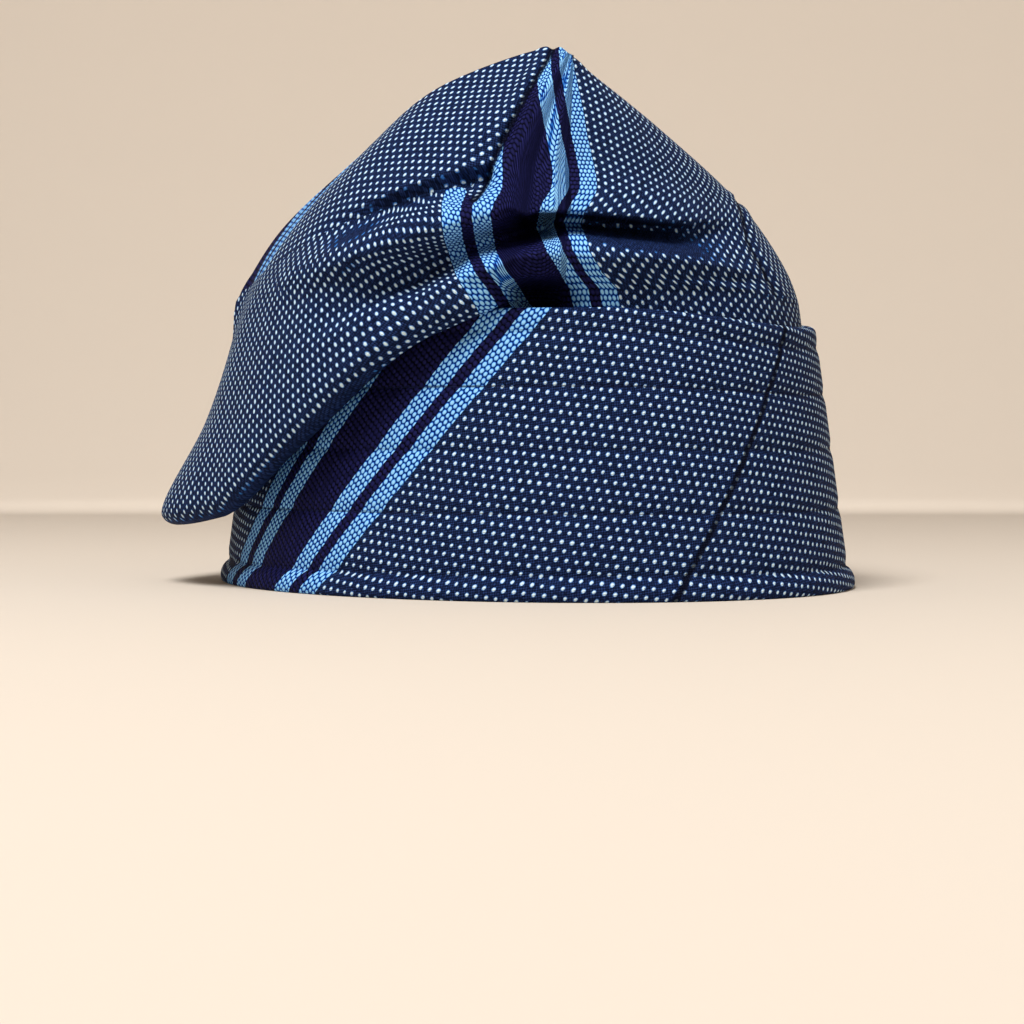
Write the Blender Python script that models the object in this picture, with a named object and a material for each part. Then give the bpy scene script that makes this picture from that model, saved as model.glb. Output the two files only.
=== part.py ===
"""A fila cap: a woven cloth cap with a stiff quilted headband and a soft crown folded over to one side.

Metres, +Z up. The cap stands on its rim at Z = 0 and the forehead side of the rim faces -Y. The origin
is under the middle of the cap's bounding box. The crown falls over the wearer's right, -X. It is laid
out in a frame of its own, in which the folded face looks along -Y and the lobe hangs at -X, and is
turned about the vertical into place.
"""

import math

import bpy
import numpy as np

MM = 0.001

# From the middle of the headband to the middle of the whole cap, which the lobe makes wider.
MIDDLE_X = -5.1 * MM
MIDDLE_Y = 0.5 * MM

# Headband
OVAL_X = 83 * MM
OVAL_Y = 101 * MM
BAND_HEIGHT = 74 * MM
BAND_TAPER = 10 * MM
BAND_WALL = 3.0 * MM
ROUND_STEP = 30
TOP_DIP = 3.5 * MM
TOP_DIP_AT = math.radians(24)
TOP_DIP_SPREAD = math.radians(50)
RIM_ROLL = 1.5 * MM
RIM_HEIGHT = 6 * MM
QUILT_ROWS = (22 * MM, 38 * MM, 54 * MM, 68 * MM)
QUILT_DEPTH = 0.6 * MM
QUILT_WIDTH = 2.2 * MM

# Crown
CLOTH = 1.2 * MM
PINCH = 0.6
PINCH_SPREAD = 0.12
GAP = 0.4 * MM
EASE = 0.5 * MM
FACE_TURN = math.radians(-33)
HEM_DEPTH = 22 * MM
RISE_DEPTH = 6 * MM
CROWN_MIDDLE = (-5 * MM, -20 * MM, 85 * MM)
PEAK_REACH = 12 * MM

# Where the crown turns over the band. It hangs fully where its edge is HANG_BELOW under the band's top,
# and not at all where its edge is HANG_ABOVE over it. Where it doesn't hang it stands up from the hem
# by way of OVER_LIFT and DRAPE_LIFT.
HANG_ABOVE = 5 * MM
HANG_BELOW = 4 * MM
OVER_LIFT = 1.2 * MM
DRAPE_LIFT = 2.5 * MM

# The lobe's lower edge: EDGE_FOLD is how far its inner side lies behind its outer side, EDGE_RISE and
# INNER_RISE are how far each side's line lies above the edge, INNER_DROP how far it lies below where
# nothing hangs. The pocket behind the lobe ends POCKET_SHARE of the way up and POCKET_RISE more.
EDGE_FOLD = 4.5 * MM
EDGE_RISE = 3 * MM
INNER_RISE = 0.5 * MM
INNER_DROP = 1.0 * MM
POCKET_SHARE = 0.25
POCKET_RISE = 2 * MM
POCKET_BLEND = 4 * MM

# How steeply the swell of the upper cloth points upwards.
SWELL_RISE = 0.8

# The folds lie on the face only: from these places up the profile, and this far back from the front.
FOLDS_FROM = 0.36
FOLDS_FULL = 0.42
FOLDS_BACK = 5 * MM
FOLDS_FRONT = -20 * MM

# Mesh density
BAND_COLUMNS = 60
CROWN_HALF_COLUMNS = 34

# Stations round the crown. u runs 0 to 1 over the face that shows and 1 to 2 over the far side.
# bearing: degrees from the middle of the face towards the lobe, at the band's top edge.
# edge_out, edge_z: how far the crown's lowest outer edge stands out from the band's top, and its height.
# Where edge_z is below the band's top it is the lobe's lower edge.
# face_out, face_z and shoulder_out, shoulder_z: the same for two lines round the crown above it.
# swell: how far the cloth between the shoulder and the ridge stands out from a straight line.
STATION_FIELDS = (
    "u", "bearing", "edge_out", "edge_z", "face_out", "face_z", "shoulder_out", "shoulder_z", "swell",
)
STATIONS = (
    (0.00, -4, -3.5, 79, 0.5, 88, -7.0, 104, 2),        # front
    (0.12, 8, 4.5, 73, 5.5, 84, -2.5, 104, 3),          # start of the lobe
    (0.25, 20, 9.5, 65, 10.0, 79, 1.5, 101, 3),         # between front and lobe
    (0.50, 44, 16.5, 39, 16.0, 62, 7.5, 91, 3),         # lobe, front
    (0.75, 68, 22.0, 19, 17.0, 50, 8.5, 80, 2),         # lobe, side
    (1.00, 90, 28.0, 16, 15.5, 46, 8.0, 68, 0),         # corner of the lobe
    (1.15, 114, 18.0, 32, 11.0, 57, 3.0, 84, 1),        # lobe, far side
    (1.28, 141, 12.0, 58, 12.0, 74, -2.0, 95, 7),       # lobe, far side
    (1.36, 157, 4.5, 73, 7.0, 84, -6.0, 102, 10),       # end of the lobe
    (1.44, 172, -3.5, 79, 2.0, 88, -10.0, 104, 12),     # back
    (1.60, 222, -3.5, 79, 0.0, 88, -9.0, 105, 9),       # back and right
    (1.78, 270, -4.5, 78, -7.0, 86, -19.0, 104, 2),     # right
    (1.90, 315, -4.5, 78, -8.0, 87, -19.0, 103, 1),     # front and right
)

# The fold along the top, from the peak over the front to the silhouette above the lobe.
RIDGE_FIELDS = ("s", "x", "y", "z")
RIDGE = (
    (0.00, 9, -61, 138),
    (0.10, 5, -54, 144),
    (0.30, -24, -46, 135),
    (0.55, -48, -31, 117),
    (0.78, -71, -13, 98),
    (1.00, -84, -1, 80),
)
RIDGE_START = 0.3

# Folds of the face that shows, each along a curve from start by way of middle to end, seen square on.
# height: how far the cloth stands out, or is drawn in if negative. width: from its line to its foot.
# sag: how far the cloth beside its line slides down, which lets a bulge hang over the fold below it.
FOLD_FIELDS = ("x0", "z0", "x1", "z1", "x2", "z2", "height", "width", "sag")
FOLDS = (
    (-8, 103, -33, 98, -76, 78, 4.5, 10, 1.5),      # upper roll
    (3, 96, -28, 88, -62, 69, -5.0, 8, 0),          # valley under the roll
    (-1, 97, 22, 98, 46, 90, -7.5, 9, 0),           # deep fold over the right half
    (4, 106, 26, 105, 50, 97, 3.0, 9, 2.5),         # cloth bulging over that fold
    (2, 87, 30, 86, 64, 84, 2.5, 9, 0),             # lower bulge
    (-15, 106, -8, 116, -2, 128, -2.0, 6, 0),       # crease beside the top panel's seam
)


def field(table, fields, name):
    """One named column of a table, as an array."""
    return np.array([row[fields.index(name)] for row in table], float)


def smooth_curve(knots, values, at):
    """A smooth curve through values at knots, read at each place in at. It never overshoots a value."""
    knots = np.asarray(knots, float)
    values = np.asarray(values, float)
    steps = np.diff(knots)
    slopes = np.diff(values) / steps
    tangents = np.zeros_like(values)
    tangents[0] = slopes[0]
    tangents[-1] = slopes[-1]
    same_way = slopes[:-1] * slopes[1:] > 0
    share = (steps[:-1] + 2 * steps[1:]) / (3 * (steps[:-1] + steps[1:]))
    blend = share * slopes[1:] + (1 - share) * slopes[:-1]
    product = slopes[:-1] * slopes[1:]
    tangents[1:-1] = np.where(same_way, product / np.where(same_way, blend, 1), 0)
    index = np.clip(np.searchsorted(knots, at, side="right") - 1, 0, len(steps) - 1)
    t = (at - knots[index]) / steps[index]
    return (
        values[index] * (1 + 2 * t) * (1 - t) ** 2
        + tangents[index] * steps[index] * t * (1 - t) ** 2
        + values[index + 1] * t * t * (3 - 2 * t)
        + tangents[index + 1] * steps[index] * t * t * (t - 1)
    )


def smooth_lines(controls, knots, at):
    """A smooth line through each column's control points, read at each place in at.

    controls is (column, control, xyz). The line's pace follows the spacing of its own points, so it
    neither loops nor cuts a corner. The result is (place, column, xyz).
    """
    knots = np.asarray(knots, float)
    steps = np.diff(controls, axis=1)
    paces = np.sqrt(np.linalg.norm(steps, axis=-1, keepdims=True)) + 1e-6
    slopes = steps / paces
    tangents = np.empty_like(controls)
    tangents[:, 0] = slopes[:, 0]
    tangents[:, -1] = slopes[:, -1]
    before = paces[:, :-1]
    after = paces[:, 1:]
    tangents[:, 1:-1] = (slopes[:, :-1] * after + slopes[:, 1:] * before) / (before + after)
    index = np.clip(np.searchsorted(knots, at, side="right") - 1, 0, len(knots) - 2)
    t = ((at - knots[index]) / (knots[index + 1] - knots[index]))[:, None, None]
    lines = np.swapaxes(controls, 0, 1)
    tangents = np.swapaxes(tangents, 0, 1)
    pace = np.swapaxes(paces, 0, 1)[index]
    return (
        lines[index] * (1 + 2 * t) * (1 - t) ** 2
        + tangents[index] * pace * t * (1 - t) ** 2
        + lines[index + 1] * t * t * (3 - 2 * t)
        + tangents[index + 1] * pace * t * t * (t - 1)
    )


def ramp(value, low, high):
    """0 below low, 1 above high, with a smooth rise between."""
    t = np.clip((value - low) / (high - low), 0, 1)
    return t * t * (3 - 2 * t)


def bell(distance):
    """A smooth bump: 1 at 0 and 0 from 1 outwards."""
    return (1 - np.clip(distance, 0, 1) ** 2) ** 2


def oval(angle, offset=0.0, height=0.0):
    """A point of the headband's outer oval, offset outwards, at a height. Angle 0 is the forehead, -Y."""
    taper = BAND_TAPER * height / BAND_HEIGHT
    radius_x = OVAL_X - taper
    radius_y = OVAL_Y - taper
    x = radius_x * np.sin(angle)
    y = -radius_y * np.cos(angle)
    normal_x = x / radius_x ** 2
    normal_y = y / radius_y ** 2
    length = np.hypot(normal_x, normal_y)
    return np.stack(
        [x + offset * normal_x / length, y + offset * normal_y / length, height + 0 * x], axis=-1
    )


def band_profile():
    """(offset from the outer oval, height) round the headband's wall, from the rim's underside."""
    inner = -BAND_WALL
    outline = [
        (inner + 0.2 * MM, 0.0),
        (RIM_ROLL - 1.2 * MM, 0.0),
        (RIM_ROLL - 0.2 * MM, 0.8 * MM),
        (RIM_ROLL, 2.2 * MM),
        (RIM_ROLL - 0.4 * MM, 3.8 * MM),
        (0.1 * MM, 5.0 * MM),
        (-QUILT_DEPTH, RIM_HEIGHT),
        (0.0, RIM_HEIGHT + QUILT_WIDTH),
    ]
    for row in QUILT_ROWS:
        outline += [(0.0, row - QUILT_WIDTH), (-QUILT_DEPTH, row), (0.0, row + QUILT_WIDTH)]
    for turn in range(0, 181, ROUND_STEP):
        angle = math.radians(turn)
        outline.append((
            inner / 2 - inner / 2 * math.cos(angle),
            BAND_HEIGHT + inner / 2 * (1 - math.sin(angle)),
        ))
    outline += [(inner, BAND_HEIGHT - 26 * MM), (inner, 12 * MM), (inner, 1.0 * MM)]
    return outline


def mesh_object(name, points, faces):
    """An object with a mesh of these points and faces."""
    mesh = bpy.data.meshes.new(name)
    mesh.from_pydata([(x - MIDDLE_X, y - MIDDLE_Y, z) for x, y, z in points], [], faces)
    mesh.update()
    item = bpy.data.objects.new(name, mesh)
    bpy.context.scene.collection.objects.link(item)
    return item


def loft_rings(name, rings):
    """A mesh through rings of points, closed round each ring and from the last ring to the first."""
    count = len(rings[0])
    points = [tuple(point) for ring in rings for point in ring]
    faces = []
    for row in range(len(rings)):
        below = row * count
        above = (row + 1) % len(rings) * count
        for step in range(count):
            after = (step + 1) % count
            faces.append((below + step, below + after, above + after, above + step))
    return mesh_object(name, points, faces)


def make_band():
    """The quilted headband, a closed wall lofted round the oval."""
    angles = np.arange(BAND_COLUMNS) * 2 * math.pi / BAND_COLUMNS
    away = np.abs((angles - TOP_DIP_AT + math.pi) % (2 * math.pi) - math.pi)
    dip = TOP_DIP * bell(away / TOP_DIP_SPREAD)
    rings = []
    for offset, height in band_profile():
        ring = oval(angles, offset, height)
        ring[:, 2] -= dip * ramp(height, 0.5 * BAND_HEIGHT, BAND_HEIGHT)
        rings.append(ring)
    return loft_rings("band", rings)


def crown_controls(u):
    """Control points of the crown's outer surface at each u: an array (u, control, xyz)."""
    order = [float(row[0]) for row in STATIONS]
    knots = np.array([order[-2] - 2, order[-1] - 2] + order + [2 + order[0], 2 + order[1]])

    def around(name):
        values = field(STATIONS, STATION_FIELDS, name)
        turn = 360 if name == "bearing" else 0
        values = np.concatenate([values[-2:] - turn, values, values[:2] + turn])
        return smooth_curve(knots, values, u)

    bearing = np.radians(around("bearing"))
    # In the crown's frame the face looks along -Y and the lobe is at -X.
    across = -np.sin(bearing)
    along = -np.cos(bearing)
    # The same direction as an angle round the band's oval, in the cap's frame.
    world_x = across * math.cos(FACE_TURN) - along * math.sin(FACE_TURN)
    world_y = across * math.sin(FACE_TURN) + along * math.cos(FACE_TURN)
    oval_angle = np.arctan2(world_x / OVAL_X, -world_y / OVAL_Y)

    def ring(offset, height):
        point = oval(oval_angle, offset, height)
        x = point[..., 0] * math.cos(-FACE_TURN) - point[..., 1] * math.sin(-FACE_TURN)
        y = point[..., 0] * math.sin(-FACE_TURN) + point[..., 1] * math.cos(-FACE_TURN)
        return np.stack([x, y, height + 0 * x], axis=-1)

    def outside(name):
        point = ring(around(name + "_out") * MM, BAND_HEIGHT)
        point[:, 2] = around(name + "_z") * MM
        return point

    edge_z = around("edge_z") * MM
    top = BAND_HEIGHT * np.ones_like(u)
    # The cloth follows the band's rounded top at this radius, as far round it as the crown overhangs.
    round_top = BAND_WALL / 2 + GAP + EASE
    overhang = ramp(top - edge_z, -HANG_ABOVE, HANG_BELOW)

    def over_top(quarters, lift):
        turn = overhang * quarters * math.pi / 2
        height = top - BAND_WALL / 2 + round_top * np.sin(turn) + (1 - overhang) * lift
        return ring(-BAND_WALL / 2 - round_top * np.cos(turn), height)

    hem = ring(-BAND_WALL - GAP, top - HEM_DEPTH)
    rise = ring(-BAND_WALL / 2 - round_top, top - RISE_DEPTH)
    verge = over_top(0, 0)
    over = over_top(1, OVER_LIFT)
    drape = over_top(2, DRAPE_LIFT)
    edge = outside("edge")
    edge_out = around("edge_out") * MM
    band_out = BAND_TAPER * (1 - edge_z / BAND_HEIGHT) + GAP + EASE
    folded_out = np.maximum(edge_out - EDGE_FOLD, band_out)
    edge_in = ring(edge_out * (1 - overhang) + folded_out * overhang, BAND_HEIGHT)
    edge_in[:, 2] = edge_z + INNER_RISE * overhang - INNER_DROP * (1 - overhang)
    edge[:, 2] += EDGE_RISE * overhang
    pocket_z = edge_z + POCKET_SHARE * (top - edge_z) + POCKET_RISE
    hanging = ramp(top - POCKET_RISE - pocket_z, 0, POCKET_BLEND)[:, None]
    halfway = (drape + edge_in) / 2
    pocket = halfway * (1 - hanging) + ring(2 * GAP + EASE, pocket_z) * hanging
    face = outside("face")
    shoulder = outside("shoulder")
    place = np.where(u <= 1, u, 2 - u)
    place = place * (place + RIDGE_START) / (1 + RIDGE_START)
    ridge = np.stack([
        smooth_curve(field(RIDGE, RIDGE_FIELDS, "s"), field(RIDGE, RIDGE_FIELDS, axis) * MM, place)
        for axis in ("x", "y", "z")
    ], axis=-1)
    middle = (shoulder + ridge) / 2
    outward = np.stack([across, along, SWELL_RISE + 0 * u], axis=-1)
    outward /= np.linalg.norm(outward, axis=-1, keepdims=True)
    middle = middle + outward * (around("swell") * MM)[:, None]
    lines = [hem, rise, verge, over, drape, pocket, edge_in, edge, face, shoulder, middle, ridge]
    return np.stack(lines, axis=1)


# Where along the profile each control point lies, and how many rows each stretch between them takes.
PROFILE_KNOTS = (0.0, 0.06, 0.10, 0.13, 0.16, 0.28, 0.32, 0.36, 0.52, 0.70, 0.85, 1.0)
PROFILE_ROWS = (1, 1, 2, 2, 1, 2, 2, 4, 6, 4, 5)
EDGE_PLACE = 0.3


def fold_relief(x, z):
    """How far the folds move the face at (x, z): outwards, and down."""
    relief = np.zeros_like(x)
    slide = np.zeros_like(x)
    for row in FOLDS:
        fold = {name: value * MM for name, value in zip(FOLD_FIELDS, row)}
        nearest = np.full_like(x, np.inf)
        at = np.zeros_like(x)
        for t in np.linspace(0, 1, 41):
            start_share = (1 - t) ** 2
            middle_share = 2 * t * (1 - t)
            line_x = start_share * fold["x0"] + middle_share * fold["x1"] + t * t * fold["x2"]
            line_z = start_share * fold["z0"] + middle_share * fold["z1"] + t * t * fold["z2"]
            distance = np.hypot(x - line_x, z - line_z)
            closer = distance < nearest
            nearest = np.where(closer, distance, nearest)
            at = np.where(closer, t, at)
        # Each fold dies away over the second half of its curve.
        strength = (1 - ramp(at, 0.5, 1.0)) * bell(nearest / fold["width"])
        relief += fold["height"] * strength
        slide += fold["sag"] * strength
    return relief, slide


def crown_surface(u, v):
    """Points of the crown's outer surface: an array (v, u, xyz) in the crown's own frame."""
    controls = crown_controls(u)
    points = smooth_lines(controls, PROFILE_KNOTS, v)
    face = ramp(v, FOLDS_FROM, FOLDS_FULL)[:, None] * ramp(-points[..., 1], -FOLDS_BACK, -FOLDS_FRONT)
    outward = points * (1, 1, 0)
    outward /= np.linalg.norm(outward, axis=-1, keepdims=True)
    relief, slide = fold_relief(points[..., 0], points[..., 2])
    points = points + outward * (relief * face)[..., None]
    points[..., 2] -= slide * face
    return points


def inward(points):
    """Unit directions into the cloth at each point of the crown's outer surface."""
    along_u = np.roll(points, -1, axis=1) - np.roll(points, 1, axis=1)
    along_v = np.gradient(points, axis=0)
    normal = np.cross(along_u, along_v)
    normal /= np.linalg.norm(normal, axis=-1, keepdims=True) + 1e-12
    half = points.shape[1] // 2
    mirrored = (-np.arange(points.shape[1])) % points.shape[1]
    ridge = normal[-2] + normal[-2][mirrored]
    normal[-1] = ridge / np.linalg.norm(ridge, axis=-1, keepdims=True)
    peak = points[-1, 0]
    middle = np.array(CROWN_MIDDLE) - points
    middle /= np.linalg.norm(middle, axis=-1, keepdims=True)
    for end, reach in ((peak, PEAK_REACH), (points[-1, half], PEAK_REACH)):
        weight = bell(np.linalg.norm(points - end, axis=-1) / reach)[..., None]
        normal = normal * (1 - weight) + middle * weight
    return normal / np.linalg.norm(normal, axis=-1, keepdims=True)


def turn_into_place(points):
    """From the crown's own frame into the cap's."""
    x = points[..., 0] * math.cos(FACE_TURN) - points[..., 1] * math.sin(FACE_TURN)
    y = points[..., 0] * math.sin(FACE_TURN) + points[..., 1] * math.cos(FACE_TURN)
    return np.stack([x, y, points[..., 2]], axis=-1)


def make_crown():
    """The folded bag: one closed wall of cloth, open below, with both faces meeting along the ridge."""
    columns = 2 * CROWN_HALF_COLUMNS
    u = np.arange(columns) / CROWN_HALF_COLUMNS
    v = [0.0]
    for low, high, count in zip(PROFILE_KNOTS, PROFILE_KNOTS[1:], PROFILE_ROWS):
        v += [low + (high - low) * (step + 1) / count for step in range(count)]
    outer = crown_surface(u, np.array(v))
    # The cloth is pinched thinner where it turns under at the lobe's lower edge.
    pinch = 1 - PINCH * bell(np.abs(np.array(v) - EDGE_PLACE) / PINCH_SPREAD)
    inner = outer + inward(outer) * CLOTH * pinch[:, None, None]
    rows = len(v)
    verts = []
    faces = []
    for skin, points in enumerate((outer, inner)):
        start = len(verts)
        ridge_start = start + (rows - 1) * columns
        placed = turn_into_place(points)
        verts += [tuple(point) for row in placed[:-1] for point in row]
        verts += [tuple(placed[-1, step]) for step in range(CROWN_HALF_COLUMNS + 1)]

        def index_of(row, step):
            step %= columns
            if row < rows - 1:
                return start + row * columns + step
            return ridge_start + min(step, columns - step)

        for row in range(rows - 1):
            for step in range(columns):
                corners = [
                    index_of(row, step), index_of(row + 1, step),
                    index_of(row + 1, step + 1), index_of(row, step + 1),
                ]
                pieces = [corners]
                # At the ridge's two ends the corners are split the same way in both skins.
                if row == rows - 2 and step in (0, CROWN_HALF_COLUMNS):
                    pieces = [corners[:2] + corners[3:], corners[1:]]
                faces += [piece[::-1] if skin else piece for piece in pieces]
    inner_start = len(verts) // 2
    for step in range(columns):
        after = (step + 1) % columns
        faces.append((step, after, inner_start + after, inner_start + step))
    return mesh_object("crown", verts, faces)


def cloth_material(name, colour, roughness):
    """A plain cloth finish for the solids."""
    material = bpy.data.materials.new(name)
    material.use_nodes = True
    shader = material.node_tree.nodes["Principled BSDF"]
    shader.inputs["Base Color"].default_value = (*colour, 1)
    shader.inputs["Roughness"].default_value = roughness
    shader.inputs["Metallic"].default_value = 0.0
    return material


def clear_scene():
    """Start from an empty scene."""
    for item in list(bpy.data.objects):
        bpy.data.objects.remove(item, do_unlink=True)


def main():
    clear_scene()
    band = make_band()
    band.data.materials.append(cloth_material("band_cloth", (0.012, 0.020, 0.075), 0.85))
    crown = make_crown()
    crown.data.materials.append(cloth_material("crown_cloth", (0.016, 0.027, 0.095), 0.85))
    for item in (band, crown):
        item.data.shade_smooth()


main()
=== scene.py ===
"""A fila cap of woven navy cloth with pale dots and light blue stripes, standing on a pale floor.

The cloth that shows is built from the same stations and folds as the solids, in finer steps, with its
seams, stitch rows and small wrinkles. Lengths are in metres, +Z is up, the forehead faces -Y.
"""

import math

import bpy
import numpy as np
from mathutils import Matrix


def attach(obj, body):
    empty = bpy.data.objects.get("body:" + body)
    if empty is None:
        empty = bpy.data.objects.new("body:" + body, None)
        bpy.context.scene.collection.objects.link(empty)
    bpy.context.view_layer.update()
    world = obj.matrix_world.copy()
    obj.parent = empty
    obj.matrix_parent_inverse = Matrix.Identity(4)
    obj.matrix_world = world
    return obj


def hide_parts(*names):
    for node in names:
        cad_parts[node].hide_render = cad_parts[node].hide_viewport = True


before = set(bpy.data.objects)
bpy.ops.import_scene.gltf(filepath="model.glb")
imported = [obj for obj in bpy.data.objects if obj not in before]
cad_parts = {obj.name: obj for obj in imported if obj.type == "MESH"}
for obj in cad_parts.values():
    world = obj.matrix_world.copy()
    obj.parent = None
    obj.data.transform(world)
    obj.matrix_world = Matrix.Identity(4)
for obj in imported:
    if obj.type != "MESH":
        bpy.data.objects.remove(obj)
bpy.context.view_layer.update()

MM = 0.001

# From the middle of the headband to the middle of the whole cap.
MIDDLE_X = -5.1 * MM
MIDDLE_Y = 0.5 * MM

# Headband
OVAL_X = 83 * MM
OVAL_Y = 101 * MM
BAND_HEIGHT = 74 * MM
BAND_TAPER = 10 * MM
BAND_WALL = 3.0 * MM
TOP_DIP = 3.5 * MM
TOP_DIP_AT = math.radians(24)
TOP_DIP_SPREAD = math.radians(50)
RIM_ROLL = 1.5 * MM
RIM_HEIGHT = 6.5 * MM
QUILT_ROWS = (22 * MM, 38 * MM, 54 * MM, 68 * MM)
QUILT_DEPTH = 0.4 * MM
QUILT_PUFF = 3.5 * MM
STITCH_ROWS = (RIM_HEIGHT,) + QUILT_ROWS
STITCH_GROOVE = 1.1 * MM
STITCH_SINK = 0.22 * MM
BAND_ROW_STEP = 0.75 * MM
BAND_UNEVEN = 0.22 * MM
# Puckers of the cloth along the stitch rows
PUCKER = 0.10 * MM
PUCKER_PITCH = 10.6 * MM
PUCKER_DRIFT = 31 * MM
PUCKER_REACH = 5 * MM
# The seam's upper layer of cloth: how high its edge stands, how sharp it is and how far it fades out
LAP_RISE = 0.35 * MM
LAP_EDGE = 0.6 * MM
LAP_FADE = 7 * MM
# In millimetres: stands for nowhere near a seam, a stitch row or the top panel.
FAR = 99.0

# The band's cloth is cut on the slant: its stripes climb at this angle, and the right edge of the
# stripes leaves the rim at this angle of the oval.
BAND_SLANT = math.radians(48)
BAND_STRIPES_AT = math.radians(-77.6)
# The band's seam climbs from the first angle at the rim to the second at the top.
BAND_SEAM_FROM = math.radians(-15)
BAND_SEAM_TO = math.radians(19)

# Crown
CLOTH = 1.2 * MM
GAP = 0.4 * MM
EASE = 0.5 * MM
FACE_TURN = math.radians(-33)
HEM_DEPTH = 22 * MM
RISE_DEPTH = 6 * MM
CROWN_MIDDLE = (-5 * MM, -20 * MM, 85 * MM)
PEAK_REACH = 12 * MM
HANG_ABOVE = 5 * MM
HANG_BELOW = 4 * MM
OVER_LIFT = 1.2 * MM
DRAPE_LIFT = 2.5 * MM
EDGE_FOLD = 4.5 * MM
EDGE_RISE = 3 * MM
INNER_RISE = 0.5 * MM
INNER_DROP = 1.0 * MM
POCKET_SHARE = 0.25
POCKET_RISE = 2 * MM
POCKET_BLEND = 4 * MM
SWELL_RISE = 0.8
FOLDS_FROM = 0.36
FOLDS_FULL = 0.42
FOLDS_BACK = 5 * MM
FOLDS_FRONT = -20 * MM
RIDGE_START = 0.3

# Mesh density
BAND_COLUMNS = 480
CROWN_HALF_COLUMNS = 198
INNER_STEP = 3

# Stations round the crown, as in the solids: see the column names.
STATION_FIELDS = (
    "u", "bearing", "edge_out", "edge_z", "face_out", "face_z", "shoulder_out", "shoulder_z", "swell",
)
STATIONS = (
    (0.00, -4, -3.5, 79, 0.5, 88, -7.0, 104, 2),        # front
    (0.05, 1.5, -3.0, 79, 1.5, 87, -5.5, 104, 2.4),     # left end of the mouth
    (0.12, 8, 4.5, 73, 5.5, 84, -2.5, 104, 3),          # start of the lobe
    (0.25, 20, 9.5, 65, 10.0, 79, 1.5, 101, 3),         # between front and lobe
    (0.50, 44, 16.5, 39, 16.0, 62, 7.5, 91, 3),         # lobe, front
    (0.75, 68, 22.0, 19, 17.0, 50, 8.5, 80, 2),         # lobe, side
    (1.00, 90, 28.0, 16, 15.5, 46, 8.0, 68, 0),         # corner of the lobe
    (1.15, 114, 18.0, 32, 11.0, 57, 3.0, 84, 1),        # lobe, far side
    (1.28, 141, 12.0, 58, 12.0, 74, -2.0, 95, 7),       # lobe, far side
    (1.36, 157, 4.5, 73, 7.0, 84, -6.0, 102, 10),       # end of the lobe
    (1.44, 172, -3.5, 79, 2.0, 88, -10.0, 104, 12),     # back
    (1.60, 222, -3.5, 79, 0.0, 88, -9.0, 105, 9),       # back and right
    (1.78, 270, -4.5, 78, -7.0, 86, -19.0, 104, 2),     # right
    (1.90, 315, -4.5, 78, -8.0, 87, -19.0, 103, 1),     # front and right
)
RIDGE_FIELDS = ("s", "x", "y", "z")
RIDGE = (
    (0.00, 11, -60, 141),
    (0.10, 5, -54, 144),
    (0.30, -24, -46, 135),
    (0.55, -48, -31, 117),
    (0.78, -71, -13, 98),
    (1.00, -84, -1, 80),
)

# Folds and wrinkles of the face that shows, along a curve from start by way of middle to end.
# fade: the share of the curve over which each dies away at its end.
FOLD_FIELDS = ("x0", "z0", "x1", "z1", "x2", "z2", "height", "width", "sag", "fade")
FOLDS = (
    (-6, 102, -33, 97, -76, 77, 7.5, 8, 3.0, 0.5),       # upper roll
    (3, 94.5, -28, 86, -64, 67, -7.5, 7, 0, 0.5),        # valley under the roll
    (-1, 97, 24, 98, 58, 92, -9.5, 7, 0, 0.5),           # deep fold over the right half
    (0, 105, 28, 105, 60, 98, 6.5, 7, 6.0, 0.5),         # cloth bulging over that fold
    (-14, 86, 24, 87, 64, 84, 3.2, 8, 0, 0.5),           # lower bulge
    (-15, 106, -8, 116, -2, 128, -2.0, 6, 0, 0.5),       # crease beside the top panel's seam
    (-12, 107, -34, 103, -60, 91, -4.5, 4.5, 0, 0.5),    # crease behind the upper roll
    (-2, 96.5, 16, 98.0, 44, 94, -6.5, 3.4, 0, 0.5),     # sharp bottom of the deep fold
    (4, 95.0, -14, 92, -40, 82, -5.0, 3.2, 0, 0.5),      # sharp bottom of the valley
    (-4, 84, 8, 81.5, 22, 82.5, -1.6, 3.2, 0, 0.5),      # small crease over the mouth
    (20, 92, 38, 91, 58, 86, -0.9, 3.5, 0, 0.6),         # wrinkles running to the right
    (24, 87, 42, 86.5, 63, 83, 0.8, 3.0, 0, 0.3),
    (28, 83.5, 46, 83, 64, 81, -0.9, 2.8, 0, 0.3),
    (34, 80, 50, 80, 64, 79.5, 0.7, 2.4, 0, 0.3),
    (-30, 78, -44, 66, -66, 52, -0.9, 5.0, 0, 0.7),      # soft hollows of the lobe
    (-22, 90, -44, 80, -74, 66, 0.9, 5.0, 0, 0.7),
    (-52, 44, -64, 36, -78, 30, -0.7, 4.0, 0, 0.7),
)

# Where the crown's front lifts off the band, above the stripes, and shows a dark mouth.
MOUTH_X = 2.0 * MM
MOUTH_Z = 77.5 * MM
MOUTH_WIDTH = 12 * MM
MOUTH_HEIGHT = 5.5 * MM
MOUTH_DEPTH = 20 * MM
# Up the profile, the mouth comes in over the first range and dies away over the second.
MOUTH_FROM = (0.10, 0.14)
MOUTH_TO = (0.40, 0.46)

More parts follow.
